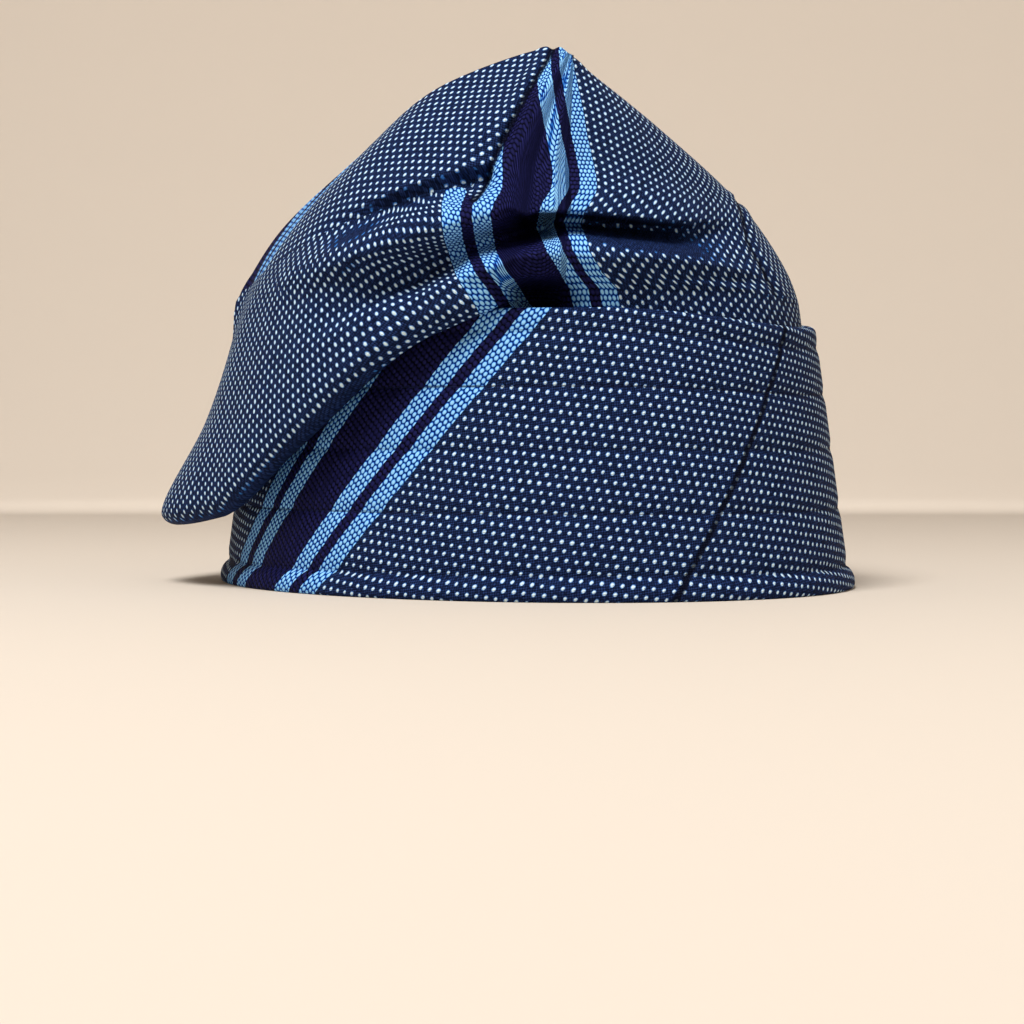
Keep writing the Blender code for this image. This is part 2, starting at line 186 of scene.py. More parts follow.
# Edges of the crown's stripe set on the face, at each height: the outer edge of the left pair of light
# stripes, its inner edge, and the inner and outer edges of the right pair.
STRIPE_FIELDS = ("z", "left", "mid_left", "mid_right", "right")
STRIPES = (
    (70.0, -12.0, 3.0, 12.0, 24.0),
    (75.2, -14.9, 0.0, 10.2, 22.0),
    (78.9, -17.4, -2.5, 9.7, 21.4),
    (82.7, -19.6, -6.4, 6.9, 17.4),
    (87.8, -21.2, -9.0, 3.6, 14.2),
    (91.9, -22.5, -9.8, 2.3, 13.4),
    (97.1, -22.9, -10.6, 1.3, 12.6),
    (100.5, -23.0, -9.5, 2.5, 14.5),
    (103.8, -22.5, -7.6, 4.8, 16.5),
    (109.1, -20.8, -7.4, 5.3, 16.2),
    (117.4, -20.5, -7.4, 3.8, 14.4),
    (128.7, -22.0, -8.5, 1.8, 12.7),
    (137.2, -23.0, -10.5, 1.3, 11.0),
    (143.0, -24.0, -12.0, 2.2, 10.2),
)
# The stripe set across: the wide navy stripe, a light stripe, a thin navy gap and a light stripe.
WIDE_HALF = 6.7
LIGHT = 5.2
THIN = 3.2
SET_HALF = WIDE_HALF + LIGHT + THIN + LIGHT

# The cloth of the lobe: the bearing where it leaves the stripes, how it blends in and out round the
# crown, how far up the profile its length is measured, and how much its yarns lean.
LOBE_START = math.radians(14)
LOBE_FROM = (0.22, 0.42)
LOBE_TO = (1.35, 1.48)
LOBE_LINE = 0.52
LOBE_LEAN = 0.12
# The cloth right of the stripes: where it blends in round the crown, how much longer its upper slope is
# than it is high, from which height on, and the peak that its axis leans to.
RIGHT_FROM = (1.55, 1.75)
RIGHT_SLOPE = 0.35
RIGHT_SLOPE_FROM = 104 * MM
PEAK = (5 * MM, -54 * MM, 146 * MM)

# The top panel's lower boundary on the face: its seam from the peak, then the crease behind the roll.
SEAM_FIELDS = ("x", "z")
PANEL_SEAM = ((6.5, 146), (4.5, 141), (0, 133), (-7.7, 117.4), (-13.9, 103.8))
PANEL_CREASE = ((-13.9, 103.8), (-30, 100.8), (-50, 94), (-68, 85.5), (-90, 76))
# The panel's cloth runs this far, in millimetres, short of the crease, which fades in over these places.
CREASE_TUCK = 3.0
CREASE_FROM = (14 * MM, 20 * MM)
# On the far side the panel reaches down this share of the profile at most, and it ends at this u. The
# last number rounds its ends: the smaller it is, the blunter they are.
PANEL_FAR_SHARE = 0.3
PANEL_FAR_END = 1.72
PANEL_FAR_ROUND = 0.7
# The flat piece that the panel was cut from: which way it faces, how its stripes turn on it, and the
# middle of the stripe set, in millimetres.
PANEL_FACING = (-0.42, -0.62, 0.66)
PANEL_TURN = math.radians(37.5)
PANEL_STRIPES_AT = -67.5
# The cloth shows no dots where its coordinates are stretched this much, deep in a crease.
TUCKED_FROM = (1.3, 1.65)

# The wall's other seams: one down its right side, which on the far half is drawn only from this u on,
# and one down its back at this u, with the scale that turns u into rough millimetres there.
SIDE_SEAM = ((56.5, 106), (57, 98), (58, 91), (63.8, 80.6), (65.5, 75))
SIDE_SEAM_FROM = 1.75
BACK_SEAM = 1.5
BACK_SEAM_SCALE = 300.0
# The cloth sinks into each seam and puffs up beside it. Distances from the seam are in millimetres.
SEAM_SINK = 0.5 * MM
SEAM_SINK_REACH = 1.6
SEAM_PUFF = 0.45 * MM
SEAM_PUFF_AT = 2.2
# The crown's cloth is uneven by this much. Up the profile, this comes in over the first range and dies
# away over the second.
CROWN_UNEVEN = 0.25 * MM
UNEVEN_FROM = (0.30, 0.40)
UNEVEN_TO = (0.96, 1.0)

# Heights of the weave and the sewing in the cloth's bump, in millimetres.
BUMPS = {
    "dot": 0.30,
    "cell": 0.32,
    "rib": 0.30,
    "ground": 0.26,
    "groove": -0.45,
    "stitch": -0.22,
    "thread": 0.20,
}
# Length of one stitch with its gap, and the share of it where the thread shows.
STITCH_PITCH = 2.6
THREAD_IN = (0.12, 0.22)
THREAD_OUT = (0.82, 0.92)
# Each yarn's colour as on a screen, 0 to 255: in the hollows, darkened with painted shade, and on top of
# the yarns, lightened with painted light, over the yarn's own colour.
SHADED_YARNS = {
    "ground": ((2, 4, 18), (36, 56, 106)),
    "dot": ((54, 118, 198), (222, 246, 255)),
    "navy": ((2, 2, 13), (34, 36, 92)),
    "cell": ((4, 32, 108), (30, 114, 216)),
}
# Painted highlight on the crest of each cell of the light stripes.
CELL_HIGHLIGHT = (150, 210, 252)
# The painted shade in seams and stitch rows, and the sewing thread's colour.
SEAM_PAINTED_SHADE = (7, 9, 24)
THREAD = (30, 38, 78)
# In millimetres: a dot across and along the stripes, and the pitches of the dots across, the dots along
# and the light stripes' cells along.
DOT_SIZE = (1.02, 1.4)
BAND_PITCHES = (3.98, 2.81, 3.27)
CROWN_PITCHES = (3.8, 2.6, 3.0)
# How far the yarns wander, in millimetres, and how often, in turns to the metre.
YARN_WANDER = 0.5
WANDER_SCALE = 260.0


def field(table, fields, name):
    """One named column of a table, as an array."""
    return np.array([row[fields.index(name)] for row in table], float)


def smooth_curve(knots, values, at):
    """A smooth curve through values at knots, read at each place in at. It never overshoots a value."""
    knots = np.asarray(knots, float)
    values = np.asarray(values, float)
    steps = np.diff(knots)
    slopes = np.diff(values) / steps
    tangents = np.zeros_like(values)
    tangents[0] = slopes[0]
    tangents[-1] = slopes[-1]
    product = slopes[:-1] * slopes[1:]
    same_way = product > 0
    share = (steps[:-1] + 2 * steps[1:]) / (3 * (steps[:-1] + steps[1:]))
    blend = share * slopes[1:] + (1 - share) * slopes[:-1]
    tangents[1:-1] = np.where(same_way, product / np.where(same_way, blend, 1), 0)
    index = np.clip(np.searchsorted(knots, at, side="right") - 1, 0, len(steps) - 1)
    t = (at - knots[index]) / steps[index]
    return (
        values[index] * (1 + 2 * t) * (1 - t) ** 2
        + tangents[index] * steps[index] * t * (1 - t) ** 2
        + values[index + 1] * t * t * (3 - 2 * t)
        + tangents[index + 1] * steps[index] * t * t * (t - 1)
    )


def smooth_lines(controls, knots, at):
    """A smooth line through each column's control points, read at each place in at."""
    knots = np.asarray(knots, float)
    steps = np.diff(controls, axis=1)
    paces = np.sqrt(np.linalg.norm(steps, axis=-1, keepdims=True)) + 1e-6
    slopes = steps / paces
    tangents = np.empty_like(controls)
    tangents[:, 0] = slopes[:, 0]
    tangents[:, -1] = slopes[:, -1]
    before = paces[:, :-1]
    after = paces[:, 1:]
    tangents[:, 1:-1] = (slopes[:, :-1] * after + slopes[:, 1:] * before) / (before + after)
    index = np.clip(np.searchsorted(knots, at, side="right") - 1, 0, len(knots) - 2)
    t = ((at - knots[index]) / (knots[index + 1] - knots[index]))[:, None, None]
    lines = np.swapaxes(controls, 0, 1)
    tangents = np.swapaxes(tangents, 0, 1)
    pace = np.swapaxes(paces, 0, 1)[index]
    return (
        lines[index] * (1 + 2 * t) * (1 - t) ** 2
        + tangents[index] * pace * t * (1 - t) ** 2
        + lines[index + 1] * t * t * (3 - 2 * t)
        + tangents[index + 1] * pace * t * t * (t - 1)
    )


def ramp(value, low, high):
    """0 below low, 1 above high, with a smooth rise between."""
    t = np.clip((value - low) / (high - low), 0, 1)
    return t * t * (3 - 2 * t)


def bell(distance):
    """A smooth bump: 1 at 0 and 0 from 1 outwards, either way."""
    return (1 - np.clip(np.abs(distance), 0, 1) ** 2) ** 2


def oval(angle, offset=0.0, height=0.0):
    """A point of the headband's outer oval, offset outwards, at a height. Angle 0 is -Y."""
    taper = BAND_TAPER * height / BAND_HEIGHT
    radius_x = OVAL_X - taper
    radius_y = OVAL_Y - taper
    x = radius_x * np.sin(angle)
    y = -radius_y * np.cos(angle)
    normal_x = x / radius_x ** 2
    normal_y = y / radius_y ** 2
    length = np.hypot(normal_x, normal_y)
    return np.stack(
        [x + offset * normal_x / length, y + offset * normal_y / length, height + 0 * x], axis=-1
    )


def new_mesh(name, points, faces):
    """A smooth shaded object with a mesh of these points and faces, moved into the cap's frame."""
    mesh = bpy.data.meshes.new(name)
    placed = np.asarray(points, float) - (MIDDLE_X, MIDDLE_Y, 0)
    mesh.from_pydata([tuple(point) for point in placed], [], faces)
    mesh.update()
    mesh.shade_smooth()
    item = bpy.data.objects.new(name, mesh)
    bpy.context.scene.collection.objects.link(item)
    return item


def add_weave(item, name, across, along):
    """Stores the cloth's coordinates in millimetres, across and along the stripes, at each vertex."""
    layer = item.data.attributes.new(name, "FLOAT2", "POINT")
    layer.data.foreach_set("vector", np.stack([across, along], axis=-1).astype(np.float32).ravel())


def add_value(item, name, values):
    """Stores one number at each vertex."""
    layer = item.data.attributes.new(name, "FLOAT", "POINT")
    layer.data.foreach_set("value", np.asarray(values, np.float32).ravel())


def waver(place, height, seed):
    """A slow unevenness of hand-made cloth, about -1 to 1, repeating once round place 0 to 1."""
    total = np.zeros_like(place + height)
    for turns, rise, phase in ((3, 21, 0.3), (5, 33, 1.9), (9, 27, 4.1), (14, 48, 2.6)):
        total = total + np.sin(
            2 * math.pi * (turns * place + phase * seed) + rise * height / BAND_HEIGHT / 8
        )
    return total / 4


def band_outline():
    """(offset, height) rows round the headband's wall, from inside the rim's underside and back."""
    rim = (
        (-BAND_WALL + 0.2 * MM, 0.0),
        (-1.2 * MM, 0.0),
        (RIM_ROLL - 1.2 * MM, 0.0),
        (RIM_ROLL - 0.5 * MM, 0.3 * MM),
        (RIM_ROLL - 0.15 * MM, 1.0 * MM),
        (RIM_ROLL, 2.0 * MM),
        (RIM_ROLL - 0.1 * MM, 3.2 * MM),
        (RIM_ROLL - 0.5 * MM, 4.4 * MM),
        (0.35 * MM, 5.4 * MM),
    )
    rows = list(rim)
    for height in np.arange(6.1 * MM, BAND_HEIGHT - BAND_WALL / 2, BAND_ROW_STEP):
        nearest = min(abs(height - row) for row in STITCH_ROWS)
        puff = QUILT_DEPTH * (1 - bell(nearest / QUILT_PUFF)) - QUILT_DEPTH
        groove = -STITCH_SINK * bell(nearest / STITCH_GROOVE)
        rows.append((puff + groove, float(height)))
    for turn in range(0, 181, 12):
        angle = math.radians(turn)
        rows.append((
            -BAND_WALL / 2 + BAND_WALL / 2 * math.cos(angle),
            BAND_HEIGHT - BAND_WALL / 2 * (1 - math.sin(angle)),
        ))
    rows += [(-BAND_WALL, BAND_HEIGHT * share) for share in (0.9, 0.75, 0.6, 0.45, 0.3, 0.15, 0.02)]
    return rows


def make_band():
    """The quilted headband with its cloth coordinates."""
    angles = np.arange(BAND_COLUMNS) * 2 * math.pi / BAND_COLUMNS - math.pi
    away = np.abs((angles - TOP_DIP_AT + math.pi) % (2 * math.pi) - math.pi)
    dip = TOP_DIP * bell(away / TOP_DIP_SPREAD)
    middle = oval(angles, 0.0, BAND_HEIGHT / 2)
    steps = np.linalg.norm(np.roll(middle, -1, axis=0) - middle, axis=-1)
    length = np.concatenate([[0], np.cumsum(steps)[:-1]])
    length -= np.interp(0, angles, length)
    seam_low = np.interp(BAND_SEAM_FROM, angles, length)
    seam_high = np.interp(BAND_SEAM_TO, angles, length)
    stripes_low = np.interp(BAND_STRIPES_AT, angles, length)
    points = []
    across = []
    along = []
    seam = []
    stitch = []
    outline = band_outline()
    for offset, height in outline:
        outside = 1.0 if offset > -BAND_WALL / 2 else 0.0
        seam_at = seam_low + (seam_high - seam_low) * height / BAND_HEIGHT
        to_seam = (length - seam_at) * math.cos(math.atan2(seam_high - seam_low, BAND_HEIGHT))
        nearest = min(abs(height - row) for row in STITCH_ROWS)
        pucker = np.sin(2 * math.pi * length / PUCKER_PITCH + 3 * np.sin(length / PUCKER_DRIFT))
        lap = ramp(to_seam, -LAP_EDGE, LAP_EDGE) * bell(to_seam / LAP_FADE)
        relief = BAND_UNEVEN * waver(angles / (2 * math.pi), height, 1.0)
        relief = relief + PUCKER * pucker * bell(nearest / PUCKER_REACH)
        relief = (relief + LAP_RISE * lap) * outside * ramp(height, 0, 2 * RIM_ROLL)
        ring = oval(angles, 0.0, height)
        normal = oval(angles, 1.0, height) - ring
        ring = ring + normal * (offset + relief)[:, None]
        ring[:, 2] -= dip * ramp(height, 0.5 * BAND_HEIGHT, BAND_HEIGHT)
        points.append(ring)
        rise = height if offset > -BAND_WALL / 2 else 2 * BAND_HEIGHT - height
        run = length - stripes_low
        across.append((run * math.sin(BAND_SLANT) - rise * math.cos(BAND_SLANT)) / MM + SET_HALF)
        along.append((run * math.cos(BAND_SLANT) + rise * math.sin(BAND_SLANT)) / MM)
        seam.append(to_seam / MM if outside else FAR + 0 * length)
        stitch.append((nearest / MM if outside else FAR) + 0 * length)
    faces = []
    for row in range(len(outline)):
        below = row * BAND_COLUMNS
        above = (row + 1) % len(outline) * BAND_COLUMNS
        for step in range(BAND_COLUMNS):
            after = (step + 1) % BAND_COLUMNS
            faces.append((below + step, below + after, above + after, above + step))
    item = new_mesh("band_cloth", np.concatenate(points), faces)
    add_weave(item, "weave", np.concatenate(across), np.concatenate(along))
    add_weave(item, "weave_panel", np.concatenate(across), np.concatenate(along))
    add_value(item, "panel", np.full(len(outline) * BAND_COLUMNS, FAR))
    add_value(item, "seam", np.concatenate(seam))
    add_value(item, "stitch", np.concatenate(stitch))
    add_value(item, "tucked", np.zeros(len(outline) * BAND_COLUMNS))
    add_value(item, "run", np.tile(length / MM, len(outline)))
    return item


def crown_controls(u):
    """Control points of the crown's outer surface at each u: an array (u, control, xyz)."""
    order = [float(row[0]) for row in STATIONS]
    knots = np.array([order[-2] - 2, order[-1] - 2] + order + [2 + order[0], 2 + order[1]])

    def around(name):
        values = field(STATIONS, STATION_FIELDS, name)
        turn = 360 if name == "bearing" else 0
        values = np.concatenate([values[-2:] - turn, values, values[:2] + turn])
        return smooth_curve(knots, values, u)

    bearing = np.radians(around("bearing"))
    across = -np.sin(bearing)
    along = -np.cos(bearing)
    world_x = across * math.cos(FACE_TURN) - along * math.sin(FACE_TURN)
    world_y = across * math.sin(FACE_TURN) + along * math.cos(FACE_TURN)
    oval_angle = np.arctan2(world_x / OVAL_X, -world_y / OVAL_Y)

    def ring(offset, height):
        point = oval(oval_angle, offset, height)
        x = point[..., 0] * math.cos(-FACE_TURN) - point[..., 1] * math.sin(-FACE_TURN)
        y = point[..., 0] * math.sin(-FACE_TURN) + point[..., 1] * math.cos(-FACE_TURN)
        return np.stack([x, y, height + 0 * x], axis=-1)

    def outside(name):
        point = ring(around(name + "_out") * MM, BAND_HEIGHT)
        point[:, 2] = around(name + "_z") * MM
        return point

    edge_z = around("edge_z") * MM
    top = BAND_HEIGHT * np.ones_like(u)
    round_top = BAND_WALL / 2 + GAP + EASE
    overhang = ramp(top - edge_z, -HANG_ABOVE, HANG_BELOW)

    def over_top(quarters, lift):
        turn = overhang * quarters * math.pi / 2
        height = top - BAND_WALL / 2 + round_top * np.sin(turn) + (1 - overhang) * lift
        return ring(-BAND_WALL / 2 - round_top * np.cos(turn), height)

    hem = ring(-BAND_WALL - GAP, top - HEM_DEPTH)
    rise = ring(-BAND_WALL / 2 - round_top, top - RISE_DEPTH)
    verge = over_top(0, 0)
    over = over_top(1, OVER_LIFT)
    drape = over_top(2, DRAPE_LIFT)
    edge = outside("edge")
    edge_out = around("edge_out") * MM
    band_out = BAND_TAPER * (1 - edge_z / BAND_HEIGHT) + GAP + EASE
    folded_out = np.maximum(edge_out - EDGE_FOLD, band_out)
    edge_in = ring(edge_out * (1 - overhang) + folded_out * overhang, BAND_HEIGHT)
    edge_in[:, 2] = edge_z + INNER_RISE * overhang - INNER_DROP * (1 - overhang)
    edge[:, 2] += EDGE_RISE * overhang
    pocket_z = edge_z + POCKET_SHARE * (top - edge_z) + POCKET_RISE
    hanging = ramp(top - POCKET_RISE - pocket_z, 0, POCKET_BLEND)[:, None]
    halfway = (drape + edge_in) / 2
    pocket = halfway * (1 - hanging) + ring(2 * GAP + EASE, pocket_z) * hanging
    face = outside("face")
    shoulder = outside("shoulder")
    place = np.where(u <= 1, u, 2 - u)
    place = place * (place + RIDGE_START) / (1 + RIDGE_START)
    ridge = np.stack([
        smooth_curve(field(RIDGE, RIDGE_FIELDS, "s"), field(RIDGE, RIDGE_FIELDS, axis) * MM, place)
        for axis in ("x", "y", "z")
    ], axis=-1)
    middle = (shoulder + ridge) / 2
    outward = np.stack([across, along, SWELL_RISE + 0 * u], axis=-1)
    outward /= np.linalg.norm(outward, axis=-1, keepdims=True)
    middle = middle + outward * (around("swell") * MM)[:, None]
    lines = [hem, rise, verge, over, drape, pocket, edge_in, edge, face, shoulder, middle, ridge]
    return np.stack(lines, axis=1)


# Up the crown's profile: the place of each control point, and the rows of points between them.
PROFILE_KNOTS = (0.0, 0.06, 0.10, 0.13, 0.16, 0.28, 0.32, 0.36, 0.52, 0.70, 0.85, 1.0)
PROFILE_ROWS = (3, 3, 3, 3, 6, 6, 6, 30, 36, 27, 24)


def fold_relief(x, z):
    """How far the folds move the face at (x, z): outwards, and down."""
    relief = np.zeros_like(x)
    slide = np.zeros_like(x)
    for row in FOLDS:
        fold = {name: value * MM for name, value in zip(FOLD_FIELDS, row)}
        fade = fold["fade"] / MM
        nearest = np.full_like(x, np.inf)
        at = np.zeros_like(x)
        for t in np.linspace(0, 1, 41):
            start_share = (1 - t) ** 2
            middle_share = 2 * t * (1 - t)
            line_x = start_share * fold["x0"] + middle_share * fold["x1"] + t * t * fold["x2"]
            line_z = start_share * fold["z0"] + middle_share * fold["z1"] + t * t * fold["z2"]
            distance = np.hypot(x - line_x, z - line_z)
            closer = distance < nearest
            nearest = np.where(closer, distance, nearest)
            at = np.where(closer, t, at)
        strength = (1 - ramp(at, 1 - fade, 1.0)) * bell(nearest / fold["width"])
        relief += fold["height"] * strength
        slide += fold["sag"] * strength
    return relief, slide


def line_distance(x, z, line):
    """Distance in metres from (x, z) to a line through a short list of points in millimetres."""
    best = np.full_like(x, np.inf)
    for (x0, z0), (x1, z1) in zip(line, line[1:]):
        run_x = (x1 - x0) * MM
        run_z = (z1 - z0) * MM
        t = ((x - x0 * MM) * run_x + (z - z0 * MM) * run_z) / (run_x ** 2 + run_z ** 2)
        t = np.clip(t, 0, 1)
        best = np.minimum(best, np.hypot(x - x0 * MM - t * run_x, z - z0 * MM - t * run_z))
    return best


def panel_distance(x, z):
    """Signed distance from the top panel's boundary on the face, less than 0 on the panel."""
    seam_x = np.interp(z, field(PANEL_SEAM, SEAM_FIELDS, "z")[::-1] * MM,
                       field(PANEL_SEAM, SEAM_FIELDS, "x")[::-1] * MM)
    crease_z = np.interp(x, field(PANEL_CREASE, SEAM_FIELDS, "x")[::-1] * MM,
                         field(PANEL_CREASE, SEAM_FIELDS, "z")[::-1] * MM)
    inside = (x < seam_x) & (z > crease_z)
    distance = np.minimum(line_distance(x, z, PANEL_SEAM), line_distance(x, z, PANEL_CREASE))
    return np.where(inside, -distance, distance)


def stripe_place(x, z):
    """Place across the stripe set in millimetres, 0 at the middle of the wide navy stripe."""
    heights = field(STRIPES, STRIPE_FIELDS, "z") * MM
    edges = [
        np.interp(z, heights, field(STRIPES, STRIPE_FIELDS, name) * MM) for name in STRIPE_FIELDS[1:]
    ]
    left, mid_left, mid_right, right = edges
    pair = SET_HALF - WIDE_HALF
    place = -WIDE_HALF + (x - mid_left) / (mid_right - mid_left) * 2 * WIDE_HALF
    place = np.where(x < mid_left, -WIDE_HALF + (x - mid_left) / (mid_left - left) * pair, place)
    return np.where(x > mid_right, WIDE_HALF + (x - mid_right) / (right - mid_right) * pair, place)


def inward(points):
    """Unit directions into the cloth at each point of the crown's outer surface."""
    along_u = np.roll(points, -1, axis=1) - np.roll(points, 1, axis=1)
    along_v = np.gradient(points, axis=0)
    normal = np.cross(along_u, along_v)
    normal /= np.linalg.norm(normal, axis=-1, keepdims=True) + 1e-12
    half = points.shape[1] // 2
    mirrored = (-np.arange(points.shape[1])) % points.shape[1]
    ridge = normal[-2] + normal[-2][mirrored]
    normal[-1] = ridge / (np.linalg.norm(ridge, axis=-1, keepdims=True) + 1e-12)
    middle = np.array(CROWN_MIDDLE) - points
    middle /= np.linalg.norm(middle, axis=-1, keepdims=True)
    for end in (points[-1, 0], points[-1, half]):
        weight = bell(np.linalg.norm(points - end, axis=-1) / PEAK_REACH)[..., None]
        normal = normal * (1 - weight) + middle * weight
    return normal / (np.linalg.norm(normal, axis=-1, keepdims=True) + 1e-12)


def crown_weave(points, u, rows_v):
    """Cloth coordinates (across, along) in millimetres at each point of the crown's outer surface."""
    half = CROWN_HALF_COLUMNS // 2
    turned = np.roll(points, half, axis=1)
    place = stripe_place(turned[..., 0], turned[..., 2])
    steps = np.linalg.norm(np.diff(turned[..., :2], axis=1), axis=-1) / MM
    change = np.diff(place, axis=1)
    low = np.minimum(np.abs(place[:, 1:]), np.abs(place[:, :-1]))
    in_set = (low < SET_HALF) & (change < 0) & (turned[:, 1:, 1] < 0)
    change = np.where(in_set, change, -steps)
    across = np.zeros(place.shape)
    across[:, half] = place[:, half]
    across[:, half + 1:] = place[:, half][:, None] + np.cumsum(change[:, half:], axis=1)
    across[:, :half] = place[:, half][:, None] - np.cumsum(change[:, :half][:, ::-1], axis=1)[:, ::-1]
    across = np.roll(across, -half, axis=1)
    rises = np.linalg.norm(np.diff(points, axis=0), axis=-1) / MM
    along = np.concatenate([np.zeros((1, points.shape[1])), np.cumsum(rises, axis=0)])
    edge_row = int(np.argmin(np.abs(rows_v - FOLDS_FROM)))
    along = along - along[edge_row] + points[edge_row, :, 2] / MM

    # Over the lobe the cloth is laid round the crown by bearing, and by height.
    bearing = np.arctan2(-points[..., 0], -points[..., 1])
    line_row = int(np.argmin(np.abs(rows_v - LOBE_LINE)))
    bearing = np.where(bearing < -math.pi / 2, bearing + 2 * math.pi, bearing)
    line = points[line_row]
    line_bearing = np.unwrap(np.arctan2(-line[:, 0], -line[:, 1]))
    line_length = np.concatenate([[0], np.cumsum(np.hypot(*np.diff(line[:, :2], axis=0).T))]) / MM
    start = np.interp(LOBE_START, line_bearing, line_length)
    round_lobe = np.interp(bearing, line_bearing, line_length) - start
    lobe_across = -SET_HALF - round_lobe
    lobe_along = points[..., 2] / MM
    share = ramp(u, *LOBE_FROM) * (1 - ramp(u, *LOBE_TO))
    across = across * (1 - share) + lobe_across * share
    along = along * (1 - share) + lobe_along * share
    across = across + LOBE_LEAN * share * (points[..., 2] / MM - BAND_HEIGHT / MM)

    # Right of the stripes the cloth is laid round an axis that leans from the band up to the peak.
    x, y, z = points[..., 0], points[..., 1], points[..., 2]
    up = (z - BAND_HEIGHT) / (PEAK[2] - BAND_HEIGHT)
    axis_x = PEAK[0] * up
    axis_y = PEAK[1] * up
    heights = field(STRIPES, STRIPE_FIELDS, "z") * MM
    edge_x = np.interp(z, heights, field(STRIPES, STRIPE_FIELDS, "right") * MM)
    radius = np.hypot(x - axis_x, y - axis_y)
    turn = np.arctan2(x - axis_x, -(y - axis_y))
    edge_turn = np.arcsin(np.clip((edge_x - axis_x) / np.maximum(radius, 1 * MM), -0.95, 0.95))
    right_across = SET_HALF + radius * (turn - edge_turn) / MM
    steep = RIGHT_SLOPE * np.maximum(z - RIGHT_SLOPE_FROM, 0) / MM
    right_along = z / MM + steep
    share = (ramp(u, *RIGHT_FROM) * (across > SET_HALF))
    blend = share * ramp(across, SET_HALF, SET_HALF + 2)
    across = across * (1 - blend) + right_across * blend
    share = ramp(u, *RIGHT_FROM)
    along = along * (1 - share) + right_along * share
    return across, along


def stretch(points, across, along):
    """How much longer the cloth is, up the crown, than its coordinates say."""
    steps = np.linalg.norm(np.gradient(points, axis=0), axis=-1) / MM
    cloth_steps = np.hypot(np.gradient(across, axis=0), np.gradient(along, axis=0))
    return steps / np.maximum(cloth_steps, 0.05)


def crown_rows():
    """Places up the profile, from the hem to the ridge."""
    rows = [0.0]
    for low, high, count in zip(PROFILE_KNOTS, PROFILE_KNOTS[1:], PROFILE_ROWS):
        rows += [low + (high - low) * (step + 1) / count for step in range(count)]
    return np.array(rows)


def fold_cloth(plain, v):
    """The crown's plain surface with its folds and its mouth."""
    x, y, z = plain[..., 0], plain[..., 1], plain[..., 2]
    outward = plain * (1, 1, 0)
    outward /= np.linalg.norm(outward, axis=-1, keepdims=True)
    front = ramp(-y, -FOLDS_BACK, -FOLDS_FRONT)
    face = ramp(v, FOLDS_FROM, FOLDS_FULL)[:, None] * front
    relief, slide = fold_relief(x, z)
    points = plain + outward * (relief * face)[..., None]
    points[..., 2] -= slide * face
    mouth = bell((x - MOUTH_X) / MOUTH_WIDTH) * bell((z - MOUTH_Z) / MOUTH_HEIGHT)
    mouth *= front * (ramp(v, *MOUTH_FROM) * (1 - ramp(v, *MOUTH_TO)))[:, None]
    return points - outward * (MOUTH_DEPTH * mouth)[..., None]


def crown_seams(plain, u, v, along):
    """Signed distance to the top panel's edge, less than 0 on it, and distance to the nearest seam."""
    x, y, z = plain[..., 0], plain[..., 1], plain[..., 2]
    tucked_in = (v < FOLDS_FROM)[:, None]
    near = (u <= 1)[None, :]
    far_share = np.clip((PANEL_FAR_END - u) / (PANEL_FAR_END - 1), 0, 1)
    boundary = 1 - PANEL_FAR_SHARE * np.sin(math.pi * far_share) ** PANEL_FAR_ROUND
    far_panel = (boundary[None, :] - v[:, None]) * (along[-1] - along[0])[None, :]
    on_crease = ramp(-x, *CREASE_FROM) * near
    panel = np.where(near, panel_distance(x, z) / MM + CREASE_TUCK * on_crease, far_panel)
    panel = np.where(tucked_in, FAR, panel)
    panel_seam = np.abs(panel) + FAR * (on_crease > 0.3)
    on_front = (near | (u > SIDE_SEAM_FROM)[None, :]) & (y < 0) & (v > FOLDS_FROM)[:, None]
    side_seam = np.where(on_front, line_distance(x, z, SIDE_SEAM) / MM, FAR)
    back = np.abs(u - BACK_SEAM + 0.5 / CROWN_HALF_COLUMNS)[None, :] * BACK_SEAM_SCALE
    seam = np.minimum(np.minimum(panel_seam, side_seam), np.maximum(back - 1.0, 0))
    return panel, np.where(tucked_in, FAR, seam)


def draw_in(points, seam, u, v):
    """The crown's surface drawn in at its seams, puffed up beside them, and a little uneven."""
    puff = SEAM_PUFF * bell((seam - SEAM_PUFF_AT) / SEAM_PUFF_AT)
    sink = SEAM_SINK * bell(seam / SEAM_SINK_REACH)
    normal = inward(points)
    points = points - normal * (puff - sink)[..., None]
    share = ramp(v, *UNEVEN_FROM) * (1 - ramp(v, *UNEVEN_TO))
    uneven = CROWN_UNEVEN * waver(u[None, :] / 2, points[..., 2], 2.0) * share[:, None]
    return points - normal * uneven[..., None]


def panel_weave(points):
    """Cloth coordinates (across, along) of the top panel, which lies almost flat."""
    facing = np.array(PANEL_FACING) / np.linalg.norm(PANEL_FACING)
    level = np.cross((0, 0, 1), facing)
    level /= np.linalg.norm(level)
    uphill = np.cross(facing, level)
    flat_x = points @ level / MM
    flat_y = points @ uphill / MM
    across = flat_x * math.cos(PANEL_TURN) - flat_y * math.sin(PANEL_TURN) - PANEL_STRIPES_AT
    along = flat_x * math.sin(PANEL_TURN) + flat_y * math.cos(PANEL_TURN)
    return across, along


def on_skin(values):
    """The values at one skin's vertices. Both sides share the ridge, so half of its row is kept."""
    half = values.shape[1] // 2
    below = values[:-1].reshape((-1,) + values.shape[2:])
    return np.concatenate([below, values[-1, :half + 1]])


def skin_faces(rows, columns, start, turned):
    """Faces of one skin of the crown, whose vertices begin at start, closed along the ridge."""
    ridge = start + (rows - 1) * columns

    def corner(row, step):
        step %= columns
        if row < rows - 1:
            return start + row * columns + step
        return ridge + min(step, columns - step)

    faces = []
    for row in range(rows - 1):
        for step in range(columns):
            corners = [
                corner(row, step), corner(row + 1, step),
                corner(row + 1, step + 1), corner(row, step + 1),
            ]
            faces.append(corners[::-1] if turned else corners)
    return faces


